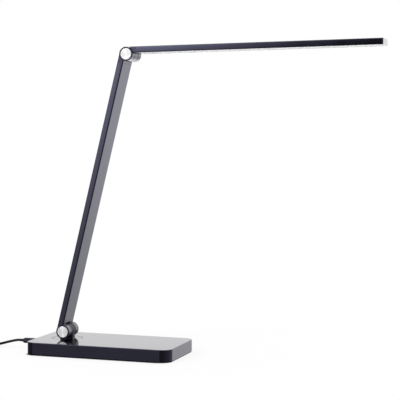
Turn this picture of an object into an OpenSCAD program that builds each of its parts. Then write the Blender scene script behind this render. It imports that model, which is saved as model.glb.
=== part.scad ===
// Folding LED desk lamp: a weighted base with touch controls and a swivel disc,
// a flat arm and a flat lamp head, joined by two friction hinges, and a low-voltage lead.
// Millimetres. Desk plane at z = 0, X along the base towards the lamp head, Y across, Z up.

/* [Base] */

// Length of the base, along X
base_length = 201; // [190:1:230]
// Width of the base, along Y
base_width = 105; // [100:1:130]
// Height of the base with its rubber pad
base_height = 16.6; // [16.4:0.1:20]
// Radius of the four upright corners
corner_radius = 13.3; // [9:0.1:18]
// Radius of the top rim
rim_radius = 0.8; // [0.4:0.1:1.2]
// Wall and top thickness of the base shell
shell_wall = 2.4; // [2:0.1:2.6]
// Thickness of the rubber pad under the base
pad_thickness = 1.2; // [0.8:0.1:1.4]
// How far the rubber pad stays inside the base outline
pad_inset = 0.9; // [0.8:0.1:2.4]
// Thickness of the bottom cover
cover_thickness = 2; // [1.6:0.1:2.2]
// Thickness of the steel weight
weight_thickness = 6.3; // [4:0.1:6.5]
// Gap between the steel weight and the walls of the shell
weight_gap = 6; // [4:0.5:12]
// Distance of the swivel axis from the rear end of the base
swivel_inset = 38.9; // [37:0.1:50]

/* [Swivel] */

// Diameter of the swivel disc
disc_diameter = 40.4; // [38:0.1:44]
// Thickness of the swivel disc
disc_thickness = 2.6; // [2.4:0.1:3]
// Gap round the swivel disc
disc_gap = 0.4; // [0.2:0.05:0.6]
// How far the swivel disc lies below the top of the base
disc_drop = 0.1; // [0:0.05:0.3]
// Thickness of the shelf that carries the disc
shelf_thickness = 2.2; // [1.8:0.1:2.4]
// Thickness of the slip washer under the disc
slip_washer_thickness = 0.5; // [0.3:0.1:0.6]
// Diameter of the hollow hub under the disc
hub_diameter = 12; // [11:0.5:13]
// Bore of the hollow hub
hub_bore = 7.2; // [6:0.2:8]
// Radial running clearance of the hub in the shelf
hub_clearance = 0.05; // [0.03:0.01:0.1]
// Height of the swivel nut
swivel_nut_height = 3.4; // [2.6:0.1:3.6]

/* [Hinges] */

// Overall width across the ears of both hinges
hinge_width = 34.4; // [34:0.1:38]
// Clearance between the folded lamp and the base
fold_clearance = 1.2; // [1.1:0.1:4]
// Gap between the arm and the folded head
fold_gap = 2.2; // [1.6:0.1:4]
// Width of the knuckles between the ears
knuckle_width = 12; // [11.8:0.1:13]
// How much smaller in radius the knuckles are than the ears
knuckle_step = 0.1; // [0.1:0.05:0.8]
// Gap between the ears and the shoulder of the head's block
shoulder_gap = 0.7; // [0.5:0.1:1.5]
// Half of the pedestal's length along X
pedestal_half = 9; // [7:0.1:9]
// Radius of the pedestal's upright edges
pedestal_round = 2.5; // [0.5:0.1:3]
// Diameter of the hinge bolts
bolt_diameter = 5; // [4:0.1:5.4]
// Radial running clearance of the bolts in the knuckles
bolt_clearance = 0.06; // [0.03:0.01:0.1]
// Thickness of the friction washers
washer_thickness = 0.5; // [0.3:0.1:0.6]
// Diameter of the metal caps over the bolts
cap_diameter = 14.7; // [13.5:0.1:15]
// Thickness of the metal caps
cap_thickness = 1.3; // [1:0.1:1.6]
// How far the caps lie inside their rings
cap_inset = 0.5; // [0.2:0.05:0.8]
// Width of the sloping lip round each cap
cap_lip = 0.4; // [0.1:0.05:0.6]
// Chamfer on the outer faces of the ears, round the caps
ring_chamfer = 0.8; // [0.4:0.05:0.9]
// Chamfer on ears, caps, knuckles and the swivel disc
hinge_chamfer = 0.3; // [0.2:0.05:0.5]

/* [Arm] */

// Distance between the two hinge axes
arm_length = 377; // [250:1:420]
// Lean of the arm from upright
arm_lean = 13.6; // [8:0.1:25]
// Width of the arm and of the head, along Y
arm_width = 33; // [31:0.1:34]
// Thickness of the arm and of the head
arm_thickness = 8.1; // [7.8:0.1:9]
// Wall of the aluminium profiles
profile_wall = 1.2; // [1:0.05:1.4]
// Corner radius of the profiles
profile_round = 1.2; // [0.6:0.1:1.5]
// Distance from the top hinge axis to the seams of the arm and of the head
block_length = 14.2; // [13.5:0.1:18]
// Distance from the base hinge axis to the seam of the arm
foot_length = 15.6; // [13.5:0.1:18]
// Distance from the top hinge axis to the bottom of the slot in its fork
slot_depth = 9.6; // [9.4:0.1:11.4]
// Distance from the base hinge axis to the bottom of the slot in its fork
foot_slot_depth = 11.5; // [9.4:0.1:11.8]
// Length of the spigots inside the profiles
spigot_length = 12; // [8:0.5:16]
// Distance of the screw ports from the middle of the arm
port_offset = 4.1; // [4:0.1:4.2]
// Thickness of the lead inside the arm and the head
inner_lead_diameter = 1.8; // [1.4:0.1:2]

/* [Head] */

// Distance from the top hinge axis to the tip of the head
head_reach = 334; // [220:1:380]
// Angle of the head above level
head_rise = 1; // [-5:0.5:15]
// Thickness of the diffuser
diffuser_thickness = 1.8; // [1.4:0.1:2]
// How far the middle of the diffuser lies above the faces of the lips
diffuser_inset = 0.1; // [0:0.05:0.3]
// Thickness of the lips under the edges of the diffuser
lip_thickness = 0.6; // [0.5:0.05:0.8]
// Width of the lips beside the diffuser
lip_width = 1.15; // [0.9:0.05:1.5]
// Thickness of the end cap at the tip
end_cap_thickness = 2; // [1.5:0.1:4]
// Thickness of the LED board and the boards in the base
board_thickness = 1.2; // [1:0.1:1.4]
// LEDs in each of the two rows
leds_per_row = 24; // [8:1:30]
// Distance between the two rows of LEDs
led_row_spacing = 11; // [8:0.5:14]

/* [Lead] */

// Diameter of the lead
cord_diameter = 3.4; // [3:0.1:3.9]
// Height of the inlet's centre above the desk
inlet_height = 10; // [9.6:0.1:10.4]
// Length of the moulded body of the inlet plug
plug_length = 24; // [18:0.5:30]
// Thickness of the moulded body of the inlet plug
plug_thickness = 6.6; // [5:0.1:7]
// Width of the moulded body of the inlet plug
plug_width = 10.8; // [10:0.1:14]

/* [Hidden] */

$fn = 64;
over = 1;
slide_gap = 0.1;

// Base: heights
shell_bottom = pad_thickness;
cover_top = pad_thickness + cover_thickness;
shell_ceiling = base_height - shell_wall;
weight_top = cover_top + weight_thickness;
inside_length = base_length - 2 * shell_wall;
inside_width = base_width - 2 * shell_wall;
inside_radius = corner_radius - shell_wall;
cover_gap = 0.2;
boss_radius = 3.6;
boss_inset = 8.6;
boss_clearance = 1.4;
cover_screw_radius = 1.3;
cover_screw_head = 2.8;
cover_screw_head_height = 1.5;
cover_screw_roof = 2.5;
cover_screw_end = shell_ceiling - cover_screw_roof;
cover_screw_tip_gap = 0.5;
boss_x = inside_length / 2 - boss_inset;
boss_y = inside_width / 2 - boss_inset;
mid_boss_gap = 0.6;
mid_boss_y = inside_width / 2 - boss_radius - mid_boss_gap;
boss_places = [
    [-boss_x, -boss_y], [boss_x, -boss_y], [-boss_x, boss_y], [boss_x, boss_y],
    [0, -mid_boss_y], [0, mid_boss_y]
];

// Swivel: heights, measured up from the desk
swivel_x = -base_length / 2 + swivel_inset;
disc_radius = disc_diameter / 2;
disc_top = base_height - disc_drop;
disc_bottom = disc_top - disc_thickness;
shelf_top = disc_bottom - slip_washer_thickness;
shelf_bottom = shelf_top - shelf_thickness;
cup_wall = 2.2;
cup_radius = disc_radius + disc_gap + cup_wall;
hub_radius = hub_diameter / 2;
friction_washer_thickness = 0.8;
spring_washer_thickness = 1;
swivel_washer_width = 4.5;
swivel_washer_radius = hub_radius + swivel_washer_width;
spring_washer_inset = 0.5;
slip_washer_inset = 1;
friction_washer_bottom = shelf_bottom - friction_washer_thickness;
spring_washer_bottom = friction_washer_bottom - spring_washer_thickness;
swivel_nut_bottom = spring_washer_bottom - swivel_nut_height;
swivel_nut_wall = 4.4;
swivel_nut_radius = hub_radius + swivel_nut_wall;
hub_thread_end = 0.2;
hub_bottom = swivel_nut_bottom - hub_thread_end;
weight_hole_gap = 4.5;
weight_hole_radius = swivel_nut_radius + weight_hole_gap;

// Hinges
inner_offset = fold_gap / 2;
outer_offset = inner_offset + arm_thickness;
middle_offset = (inner_offset + outer_offset) / 2;
ear_radius = outer_offset;
knuckle_radius = ear_radius - knuckle_step;
knuckle_half = knuckle_width / 2;
ear_inner = knuckle_half + washer_thickness;
ear_outer = hinge_width / 2;
hinge_z = base_height + ear_radius + fold_clearance;
bolt_radius = bolt_diameter / 2;
cap_radius = cap_diameter / 2;
cap_face = ear_outer - cap_inset;
cap_seat = cap_face - cap_thickness;
bolt_head_height = 2.8;
bolt_head_rim = 1.9;
bolt_head_radius = bolt_radius + bolt_head_rim;
hex_share = 0.7;
hex_depth = 1.8;
nut_height = 2.7;
nut_wall = 2.1;
nut_radius = bolt_radius + nut_wall;
cap_glue_gap = 0.2;
bolt_seat = cap_seat - bolt_head_height - cap_glue_gap;
washer_radius = 7;
shoulder_radius = ear_radius + shoulder_gap;
channel_radius = 1.4;
channel_wall = 1.7;
channel_floor = 0.8;
channel_offset = bolt_radius + channel_wall + channel_radius;
hub_bore_roof = 2.2;

// Arm and head profiles
half_width = arm_width / 2;
cavity_half = half_width - profile_wall;
cavity_thickness = arm_thickness - 2 * profile_wall;
port_radius = cavity_thickness / 2;
arm_screw_radius = 1.25;
arm_screw_head = 2.2;
arm_screw_head_height = 1.4;
arm_screw_length = 12;
lead_hole_gap = 0.4;
lead_hole = inner_lead_diameter / 2 + lead_hole_gap;
lead_end_gap = 0.3;
port_overlap = 0.01;
profile_end = arm_length - block_length;
head_end = head_reach - end_cap_thickness;
mouth_half = cavity_half - lip_width;
diffuser_front = inner_offset + lip_thickness;
diffuser_back = diffuser_front + diffuser_thickness;
rib_thickness = 0.6;
rib_front = diffuser_back + slide_gap;
rib_back = rib_front + rib_thickness;
rib_inset = 1;
rib_half = cavity_half - rib_inset;
ceiling_offset = outer_offset - profile_wall;
head_spigot_extra = 2;
head_spigot_length = spigot_length + head_spigot_extra;
board_start_gap = 3;
board_end_gap = 2;
board_side_gap = 0.8;
board_start = block_length + head_spigot_length + board_start_gap;
board_end = head_end - spigot_length - board_end_gap;
board_half = rib_half - board_side_gap;
led_offset = ceiling_offset - board_thickness;
led_height = 0.8;
led_length = 3.5;
led_width = 2.8;
led_margin = 8;
led_pitch = (board_end - board_start - 2 * led_margin) / (leds_per_row - 1);
head_screw_y = 8;
head_screw_z = block_length + head_spigot_length / 2;
head_screw_radius = 1.25;
head_screw_head = 2.2;
head_screw_head_height = 1.2;
head_screw_hole_share = 0.6;
head_screw_bite_share = 0.5;
head_lead_gap = 0.5;
head_lead_lap = 3;

// Boards in the base
inlet_x = -base_length / 2;
socket_drop = 1.6;
inlet_board_top = inlet_height - socket_drop;
inlet_board_gap = 0.5;
inlet_cup_gap = 0.7;
inlet_board_half = 18;
inlet_board_front = inlet_x + shell_wall + inlet_board_gap;
inlet_board_end = swivel_x - cup_radius - inlet_cup_gap;
inlet_board_length = inlet_board_end - inlet_board_front;
inlet_post_x = inlet_board_front + inlet_board_length / 2;
inlet_post_y = 14;
inlet_post_radius = 2.2;
inlet_pin_radius = 1;
weight_rim = 6;
weight_start = swivel_x - weight_hole_radius - weight_rim;
weight_end = inside_length / 2 - weight_gap;
weight_half = inside_width / 2 - weight_gap;
lead_slot_half = 2.5;
lead_slot_length = 12;
lead_slot_end = swivel_x + cup_radius + lead_slot_length;
control_board_gap = 34;
control_board_start = swivel_x + cup_radius + control_board_gap;
control_board_end_gap = 8;
control_board_end = inside_length / 2 - control_board_end_gap;
control_board_half = 18;
lead_clearance = 0.3;
lead_step = 5;
lead_start_y = 3;
control_board_bottom = shell_ceiling - board_thickness;
post_radius = 2.5;
post_gap = 6;
post_setback = 25;
post_y = 32;
post_places = [
    for (x = [swivel_x + cup_radius + post_gap, control_board_end - post_setback])
        for (y = [-post_y, post_y])
            [x, y]
];
touch_chip_starts = [20, 34];
touch_chip_size = [7, 8, 1.5];
driver_coil_place = [12, 9];
driver_coil_radius = 3;
driver_coil_height = 2.6;
capacitor_places = [[10, -12], [10, -6]];
capacitor_radius = 2;
capacitor_height = 2.8;
driver_chip_place = [2, 1];
driver_chip_size = [5, 7, 2.4];

// Inlet and plug
socket_width = 8.9;
socket_height = 3.2;
socket_wall = 0.3;
socket_inset = 0.6;
socket_front = inlet_x + socket_inset;
socket_length = 7.3;
tongue_half = 3.3;
tongue_half_height = 0.35;
tongue_inset = 1;
plug_shell_width = 8.2;
plug_shell_height = 2.5;
plug_shell_wall = 0.4;
plug_shell_root = 0.5;
plug_shell_reach = 5.4;
plug_bevel = 0.8;
plug_gap = 0.3;
plug_front = inlet_x - plug_gap;
plug_back = plug_front - plug_length;
relief_length = 8.2;
relief_lip = 0.1;
relief_flare = 0.6;
relief_end = plug_back - relief_length;
cord_radius = cord_diameter / 2;

// Lead: from the strain relief down to the desk and into the coil beside the base
coil_centre = [-188, -23.6];
coil_middle_radius = 20.2;
coil_turns_across = 3;
coil_turns_up = 4;
coil_inner = coil_middle_radius - coil_turns_across * cord_radius;
coil_outer = coil_middle_radius + coil_turns_across * cord_radius;
coil_height = coil_turns_up * cord_diameter;
cord_route = [
    [-133, 0, 10], [-134, 0, 10], [-138, 0, 9.6], [-142, 0, 8.8], [-148, 0, 7.2],
    [-154, 0, 5.3], [-160, 0, 3.6], [-166, 0, 2.4], [-172, 0, 1.8], [-177, 0, 1.7],
    [-182, 0, 1.7]
];
tail_route = [
    [-211.6, -31, 5.1], [-211.6, -35, 5.1], [-211.6, -39, 4.8], [-211.6, -43, 4.3],
    [-211.6, -47, 4], [-211.6, -50, 4], [-211.6, -51, 4]
];
end_plug = [-211.6, -51, 4];
end_relief_length = 9;
end_relief_flare = 1.3;
end_plug_length = 28;
end_plug_width = 15.6;
end_plug_height = 8;
end_shell_length = 12;
end_shell_width = 12;
end_shell_height = 4.5;
end_shell_wall = 0.35;
end_tongue_top = -0.2;
tie_width = 7;
tie_thickness = 0.9;
tie_slack = 0.2;

// ---------- shared shapes ----------

// Upright slab with round corners
module slab(length, width, radius, low, high) {
    translate([0, 0, low]) {
        translate([-length / 2 + radius, -width / 2, 0])
            cube([length - 2 * radius, width, high - low]);
        translate([-length / 2, -width / 2 + radius, 0])
            cube([length, width - 2 * radius, high - low]);
        for (x = [-1, 1])
            for (y = [-1, 1])
                translate([x * (length / 2 - radius), y * (width / 2 - radius), 0])
                    cylinder(r = radius, h = high - low);
    }
}

// Slab whose top rim is rounded
module rimmed_slab(length, width, radius, low, high, rim) {
    slab(length, width, radius, low, high - rim);
    slab(length - 2 * rim, width - 2 * rim, radius - rim, low, high);
    for (x = [-1, 1])
        for (y = [-1, 1])
            translate([x * (length / 2 - radius), y * (width / 2 - radius), high - rim])
                rotate_extrude()
                    intersection() {
                        translate([radius - rim, 0])
                            circle(r = rim);
                        square([radius, rim]);
                    }
    for (y = [-1, 1])
        translate([-length / 2 + radius, y * (width / 2 - rim), high - rim])
            rotate([0, 90, 0])
                cylinder(r = rim, h = length - 2 * radius);
    for (x = [-1, 1])
        translate([x * (length / 2 - rim), -width / 2 + radius, high - rim])
            rotate([-90, 0, 0])
                cylinder(r = rim, h = width - 2 * radius);
}

// Ring or disc on the Z axis
module ring(inner, outer, low, high) {
    translate([0, 0, low])
        difference() {
            cylinder(r = outer, h = high - low);
            translate([0, 0, -over])
                cylinder(r = inner, h = high - low + 2 * over);
        }
}

// Flat-sided oval bar along X, centred on the axis
module oval_bar(width, height, from, to) {
    translate([from, -width / 2 + height / 2, -height / 2])
        cube([to - from, width - height, height]);
    for (y = [-1, 1])
        translate([from, y * (width - height) / 2, 0])
            rotate([0, 90, 0])
                cylinder(d = height, h = to - from);
}

// Cylinder along Y between two stations
module rod_y(radius, from, to) {
    translate([0, from, 0])
        rotate([-90, 0, 0])
            cylinder(r = radius, h = to - from);
}

// Cylinder along Y with both ends chamfered
module drum_y(radius, from, to, from_chamfer, to_chamfer) {
    rod_y(radius, from + from_chamfer, to - to_chamfer);
    translate([0, from, 0])
        rotate([-90, 0, 0])
            cylinder(r1 = radius - from_chamfer, r2 = radius, h = from_chamfer);
    translate([0, to - to_chamfer, 0])
        rotate([-90, 0, 0])
            cylinder(r1 = radius, r2 = radius - to_chamfer, h = to_chamfer);
}

// Bar along Z with the outline of the profiles: its outer face looks to -X
module profile_bar(low, high) {
    translate([-outer_offset + profile_round, -half_width, low])
        cube([arm_thickness - 2 * profile_round, arm_width, high - low]);
    translate([-outer_offset, -half_width + profile_round, low])
        cube([arm_thickness, arm_width - 2 * profile_round, high - low]);
    for (x = [-outer_offset + profile_round, -inner_offset - profile_round])
        for (y = [-1, 1])
            translate([x, y * (half_width - profile_round), low])
                cylinder(r = profile_round, h = high - low);
}

// Box given by its low and high corners
module block(low, high) {
    translate(low)
        cube(high - low);
}

// Tube swept along a route
function step(p, i) = p[min(i + 1, len(p) - 1)] - p[max(i - 1, 0)];
function unit(v) = v / norm(v);
function side(p, i) = unit(cross(step(p, i), [0, 0, 1]));
function lift(p, i) = cross(side(p, i), unit(step(p, i)));
function ring_point(p, i, r, n, k) =
    p[i] + r * cos(360 * (k + 0.5) / n) * side(p, i) + r * sin(360 * (k + 0.5) / n) * lift(p, i);

module swept_tube(p, r, n) {
    last = len(p) - 1;
    points = [for (i = [0:last]) for (k = [0:n - 1]) ring_point(p, i, r, n, k)];
    walls = [
        for (i = [0:last - 1])
            for (k = [0:n - 1])
                for (t = [0, 1])
                    t == 0
                    ? [i * n + k, i * n + (k + 1) % n, (i + 1) * n + (k + 1) % n]
                    : [i * n + k, (i + 1) * n + (k + 1) % n, (i + 1) * n + k]
    ];
    ends = [[for (k = [0:n - 1]) n - 1 - k], [for (k = [0:n - 1]) last * n + k]];
    polyhedron(points = points, faces = concat(walls, ends), convexity = 4);
}

// ---------- where things stand ----------

module at_swivel() {
    translate([swivel_x, 0, 0])
        children();
}

module at_base_hinge() {
    translate([swivel_x, 0, hinge_z])
        children();
}

module at_arm() {
    at_base_hinge()
        rotate([0, arm_lean, 0])
            children();
}

module at_top_hinge() {
    at_arm()
        translate([0, 0, arm_length])
            children();
}

module at_head() {
    at_top_hinge()
        rotate([0, 90 - head_rise - arm_lean, 0])
            children();
}

module at_plug() {
    translate([0, 0, inlet_height])
        children();
}

// ---------- base ----------

module base_shell() {
    color([0.03, 0.03, 0.035])
        difference() {
            union() {
                difference() {
                    rimmed_slab(base_length, base_width, corner_radius, shell_bottom, base_height,
                        rim_radius);
                    slab(inside_length, inside_width, inside_radius, shell_bottom - over,
                        shell_ceiling);
                }
                for (p = boss_places)
                    translate([p[0], p[1], cover_top])
                        cylinder(r = boss_radius, h = shell_ceiling - cover_top + shell_wall / 2);
                for (p = post_places)
                    translate([p[0], p[1], weight_top])
                        cylinder(r = post_radius, h = shell_ceiling - weight_top + shell_wall / 2);
                for (y = [-1, 1])
                    translate([inlet_post_x, y * inlet_post_y, 0]) {
                        ring_post = shell_ceiling - inlet_board_top + shell_wall / 2;
                        translate([0, 0, inlet_board_top])
                            cylinder(r = inlet_post_radius, h = ring_post);
                        translate([0, 0, inlet_board_top - board_thickness])
                            cylinder(r = inlet_pin_radius, h = board_thickness + over);
                    }
                at_swivel()
                    translate([0, 0, shelf_bottom])
                        cylinder(r = cup_radius, h = base_height - shelf_bottom - shell_wall / 2);
            }
            at_swivel() {
                translate([0, 0, shelf_top])
                    cylinder(r = disc_radius + disc_gap, h = base_height);
                translate([0, 0, shelf_bottom - over])
                    cylinder(r = hub_radius + hub_clearance, h = base_height);
            }
            for (p = boss_places)
                translate([p[0], p[1], cover_top - over])
                    cylinder(r = cover_screw_radius, h = cover_screw_end - cover_top + over);
            at_plug()
                oval_bar(socket_width + 2 * slide_gap, socket_height + 2 * slide_gap,
                    inlet_x - over, inlet_x + shell_wall + over);
        }
}

module bottom_cover() {
    color([0.08, 0.08, 0.08])
        difference() {
            slab(inside_length - 2 * cover_gap, inside_width - 2 * cover_gap,
                inside_radius - cover_gap, pad_thickness, cover_top);
            for (p = boss_places)
                translate([p[0], p[1], pad_thickness]) {
                    cylinder(r1 = cover_screw_head, r2 = cover_screw_radius,
                        h = cover_screw_head_height);
                    cylinder(r = cover_screw_radius, h = cover_thickness + over);
                }
        }
}

module rubber_pad() {
    color([0.05, 0.05, 0.05])
        slab(base_length - 2 * pad_inset, base_width - 2 * pad_inset, corner_radius - pad_inset,
            0, pad_thickness);
}

module cover_screws() {
    color([0.5, 0.5, 0.52])
        for (p = boss_places)
            translate([p[0], p[1], pad_thickness]) {
                cylinder(r1 = cover_screw_head, r2 = cover_screw_radius,
                    h = cover_screw_head_height);
                cylinder(r = cover_screw_radius,
                    h = cover_screw_end - cover_screw_tip_gap - pad_thickness);
            }
}

module steel_weight() {
    color([0.35, 0.35, 0.37])
        difference() {
            block([weight_start, -weight_half, cover_top], [weight_end, weight_half, weight_top]);
            at_swivel()
                translate([0, 0, cover_top - over])
                    cylinder(r = weight_hole_radius, h = weight_thickness + 2 * over);
            block([swivel_x, -lead_slot_half, cover_top - over],
                [lead_slot_end, lead_slot_half, weight_top + over]);
            for (p = boss_places)
                translate([p[0], p[1], cover_top - over])
                    cylinder(r = boss_radius + boss_clearance, h = weight_thickness + 2 * over);
        }
}

module control_board() {
    color([0.05, 0.3, 0.12])
        block([control_board_start, -control_board_half, control_board_bottom],
            [control_board_end, control_board_half, shell_ceiling]);
}

// A box standing down from the control board, with its lowest corner in X and Y at place
module board_box(place, size) {
    corner = [control_board_start + place[0], place[1], control_board_bottom];
    block(corner - [0, 0, size[2]], corner + [size[0], size[1], 0]);
}

// A round part standing down from the control board
module board_drum(place, radius, height) {
    translate([control_board_start + place[0], place[1], control_board_bottom - height])
        cylinder(r = radius, h = height);
}

module driver_parts() {
    color([0.12, 0.12, 0.13]) {
        for (x = touch_chip_starts)
            board_box([x, -touch_chip_size[1] / 2], touch_chip_size);
        board_drum(driver_coil_place, driver_coil_radius, driver_coil_height);
        for (place = capacitor_places)
            board_drum(place, capacitor_radius, capacitor_height);
        board_box(driver_chip_place, driver_chip_size);
    }
}

module inlet_board() {
    color([0.05, 0.3, 0.12])
        difference() {
            block([inlet_board_front, -inlet_board_half, inlet_board_top - board_thickness],
                [inlet_board_end, inlet_board_half, inlet_board_top]);
            for (y = [-1, 1])
                translate([inlet_post_x, y * inlet_post_y, 0])
                    cylinder(r = inlet_pin_radius, h = base_height);
        }
}

module inlet_socket() {
    color([0.7, 0.7, 0.72])
        at_plug() {
            difference() {
                oval_bar(socket_width, socket_height, socket_front, socket_front + socket_length);
                oval_bar(socket_width - 2 * socket_wall, socket_height - 2 * socket_wall,
                    socket_front - over, socket_front + socket_length - 2 * socket_wall);
            }
            block([socket_front + tongue_inset, -tongue_half, -tongue_half_height],
                [socket_front + socket_length - socket_wall, tongue_half, tongue_half_height]);
        }
}

// From the control board over the weight, down its slot and along the cover to the hub
module control_lead() {
    r = inner_lead_diameter / 2;
    start = control_board_start;
    high = weight_top + r + lead_clearance;
    low = cover_top + r + lead_clearance;
    drop = lead_slot_end - lead_clearance - r;
    route = [
        [start + lead_step, -lead_start_y, control_board_bottom - r - lead_clearance],
        [start - lead_step, -lead_start_y, high + r / 2],
        [drop + lead_step, 0, high],
        [drop, 0, high],
        [drop - lead_step, 0, (high + low) / 2],
        [drop - 2 * lead_step, 0, low],
        [drop - 3 * lead_step, 0, low],
        [swivel_x + lead_step / 2, 0, low]
    ];
    color([0.75, 0.1, 0.08])
        swept_tube(route, r, 8);
}

// ---------- swivel ----------

module swivel_mount() {
    color([0.04, 0.04, 0.045])
        difference() {
            union() {
                at_swivel() {
                    translate([0, 0, disc_bottom])
                        cylinder(r = disc_radius, h = disc_thickness - hinge_chamfer);
                    translate([0, 0, disc_top - hinge_chamfer])
                        cylinder(r1 = disc_radius, r2 = disc_radius - hinge_chamfer,
                            h = hinge_chamfer);
                    translate([0, 0, hub_bottom])
                        cylinder(r = hub_radius, h = disc_bottom - hub_bottom + over);
                    slab(2 * pedestal_half, 2 * (knuckle_half - hinge_chamfer), pedestal_round,
                        disc_top - over, hinge_z);
                }
                at_base_hinge()
                    drum_y(knuckle_radius, -knuckle_half, knuckle_half, hinge_chamfer, hinge_chamfer);
            }
            at_base_hinge() {
                channel_low = -knuckle_radius + channel_radius + channel_floor;
                rod_y(bolt_radius + bolt_clearance, -knuckle_half - over, knuckle_half + over);
                translate([-channel_offset, 0, channel_low])
                    cylinder(r = channel_radius, h = 3 * knuckle_radius);
                translate([-channel_offset, 0, channel_low])
                    rotate([0, 90, 0])
                        cylinder(r = channel_radius, h = channel_offset);
            }
            at_swivel()
                translate([0, 0, hub_bottom - over])
                    cylinder(r = hub_bore / 2,
                        h = hinge_z - bolt_radius - hub_bore_roof - hub_bottom + over);
        }
}

module swivel_slip_washer() {
    color([0.85, 0.85, 0.82])
        at_swivel()
            ring(hub_radius + slip_washer_inset, disc_radius - slip_washer_inset, shelf_top,
                disc_bottom);
}

module swivel_friction_washer() {
    color([0.2, 0.2, 0.2])
        at_swivel()
            ring(hub_radius + slide_gap, swivel_washer_radius, friction_washer_bottom,
                shelf_bottom);
}

module swivel_spring_washer() {
    color([0.6, 0.6, 0.62])
        at_swivel()
            ring(hub_radius + slide_gap, swivel_washer_radius - spring_washer_inset,
                spring_washer_bottom,
                friction_washer_bottom);
}

module swivel_nut() {
    color([0.6, 0.6, 0.62])
        at_swivel()
            difference() {
                translate([0, 0, swivel_nut_bottom])
                    cylinder(r = swivel_nut_radius, h = swivel_nut_height, $fn = 6);
                translate([0, 0, swivel_nut_bottom - over])
                    cylinder(r = hub_radius, h = swivel_nut_height + 2 * over);
            }
}

// ---------- hinge hardware, on the Y axis ----------

module hinge_bolt() {
    rod_y(bolt_radius, -bolt_seat, bolt_seat + nut_height);
    difference() {
        rod_y(bolt_head_radius, -bolt_seat - bolt_head_height, -bolt_seat);
        translate([0, -bolt_seat - bolt_head_height - over, 0])
            rotate([-90, 0, 0])
                cylinder(r = bolt_radius * hex_share, h = over + hex_depth, $fn = 6);
    }
}

module hinge_nut() {
    difference() {
        translate([0, bolt_seat, 0])
            rotate([-90, 0, 0])
                cylinder(r = nut_radius, h = nut_height, $fn = 6);
        rod_y(bolt_radius, bolt_seat - over, bolt_seat + nut_height + over);
    }
}

module hinge_washers() {
    for (y = [-ear_inner, knuckle_half])
        difference() {
            rod_y(washer_radius, y, y + washer_thickness);
            rod_y(bolt_radius + slide_gap, y - over, y + washer_thickness + over);
        }
}

module hinge_caps() {
    for (s = [0, 1])
        mirror([0, s, 0])
            translate([0, -cap_face, 0])
                rotate([-90, 0, 0]) {
                    cylinder(r1 = cap_radius - hinge_chamfer / 2, r2 = cap_radius,
                        h = hinge_chamfer / 2);
                    translate([0, 0, hinge_chamfer / 2])
                        cylinder(r = cap_radius, h = cap_thickness - hinge_chamfer / 2);
                }
}

// Round pocket for a cap, with a sloping lip round its mouth, in the ear at -Y
module cap_pocket() {
    mouth = cap_radius + slide_gap;
    rod_y(mouth, -ear_outer - over, -cap_seat);
    translate([0, -ear_outer, 0])
        rotate([-90, 0, 0])
            cylinder(r1 = mouth + cap_lip, r2 = mouth, h = cap_inset);
}

// ---------- arm ----------

// End block of the arm, with two ears round a slot; its arm points to +Z
module fork(slot, length) {
    difference() {
        union() {
            profile_bar(0, length);
            for (s = [0, 1])
                mirror([0, s, 0]) {
                    drum_y(ear_radius, ear_inner, ear_outer, hinge_chamfer, ring_chamfer);
                    block([-outer_offset + profile_wall + slide_gap,
                            port_offset + port_radius + slide_gap, length - over],
                        [-inner_offset - profile_wall - slide_gap,
                            cavity_half - slide_gap, length + spigot_length]);
                }
        }
        block([-ear_radius - over, -ear_inner, -ear_radius - over],
            [ear_radius + over, ear_inner, slot]);
        rod_y(bolt_radius + slide_gap / 2, -ear_outer - over, ear_outer + over);
        for (s = [0, 1])
            mirror([0, s, 0])
                cap_pocket();
        rod_y(bolt_head_radius + slide_gap, -cap_seat - over, -bolt_seat);
        translate([0, bolt_seat, 0])
            rotate([-90, 0, 0])
                cylinder(r = nut_radius + slide_gap, h = ear_outer, $fn = 6);
        translate([-middle_offset, 0, 0])
            cylinder(r = lead_hole, h = length + over);
        for (y = [-1, 1])
            translate([-middle_offset, y * port_offset, slot - over]) {
                cylinder(r = arm_screw_radius + slide_gap, h = length);
                cylinder(r = arm_screw_head + slide_gap,
                    h = over + arm_screw_head_height + slide_gap);
            }
    }
}

module arm_lower_fork() {
    color([0.05, 0.05, 0.055])
        at_arm()
            fork(foot_slot_depth, foot_length);
}

module arm_upper_fork() {
    color([0.05, 0.05, 0.055])
        at_top_hinge()
            mirror([0, 0, 1])
                fork(slot_depth, block_length);
}

module arm_profile() {
    color([0.05, 0.05, 0.055])
        at_arm()
            difference() {
                profile_bar(foot_length, profile_end);
                difference() {
                    block([-outer_offset + profile_wall, -cavity_half, foot_length - over],
                        [-inner_offset - profile_wall, cavity_half, profile_end + over]);
                    for (y = [-1, 1])
                        translate([-middle_offset, y * port_offset, 0])
                            cylinder(r = port_radius + port_overlap, h = arm_length);
                }
                for (y = [-1, 1])
                    translate([-middle_offset, y * port_offset, 0])
                        cylinder(r = arm_screw_radius, h = arm_length);
            }
}

// Screw that points to +Z, its head under z = 0
module pan_screw(head_radius, head_height, radius, length) {
    translate([0, 0, -head_height])
        cylinder(r = head_radius, h = head_height);
    cylinder(r = radius, h = length);
}

module arm_screws() {
    seat = arm_screw_head_height + slide_gap;
    color([0.5, 0.5, 0.52])
        at_arm()
            for (y = [-1, 1]) {
                translate([-middle_offset, y * port_offset, foot_slot_depth + seat])
                    pan_screw(arm_screw_head, arm_screw_head_height, arm_screw_radius,
                        arm_screw_length);
                translate([-middle_offset, y * port_offset, arm_length - slot_depth - seat])
                    rotate([180, 0, 0])
                        pan_screw(arm_screw_head, arm_screw_head_height, arm_screw_radius,
                            arm_screw_length);
            }
}

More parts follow.
